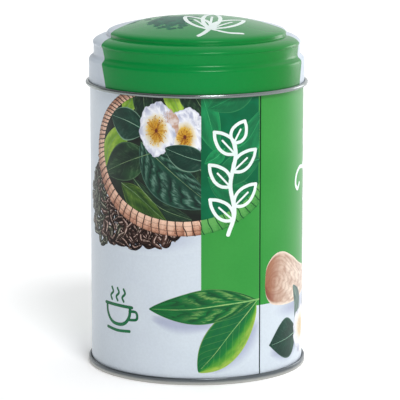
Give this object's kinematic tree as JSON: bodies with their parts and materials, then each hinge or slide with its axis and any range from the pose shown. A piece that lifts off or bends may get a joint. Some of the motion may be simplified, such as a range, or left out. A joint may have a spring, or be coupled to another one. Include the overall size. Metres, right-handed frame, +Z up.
{
  "type": "tea caddy",
  "caption": "Round printed tinplate tea caddy with a double-seamed base and a stepped, domed slip lid that lifts off.",
  "frame": {"origin": "centre of the standing plane under the base rim", "axes": "+Z up along the tin's axis, -Y to the front, +X to the right of the front"},
  "size_m": [0.1042, 0.1042, 0.1644],
  "materials": {
    "printed_tinplate": "glossy",
    "printed_green": "glossy",
    "bare_tinplate": "satin",
    "seam_sealant": "matte"
  },
  "bodies": {
    "tin": {"body_shell": "printed_tinplate", "base_end": "bare_tinplate", "seam_compound": "seam_sealant"},
    "lid": {"lid": "printed_green"}
  },
  "joints": [
    {"name": "lid_lift", "type": "slide", "parent": "tin", "child": "lid", "axis": [0, 0, 1], "range_m": [0, 0.06]}
  ]
}
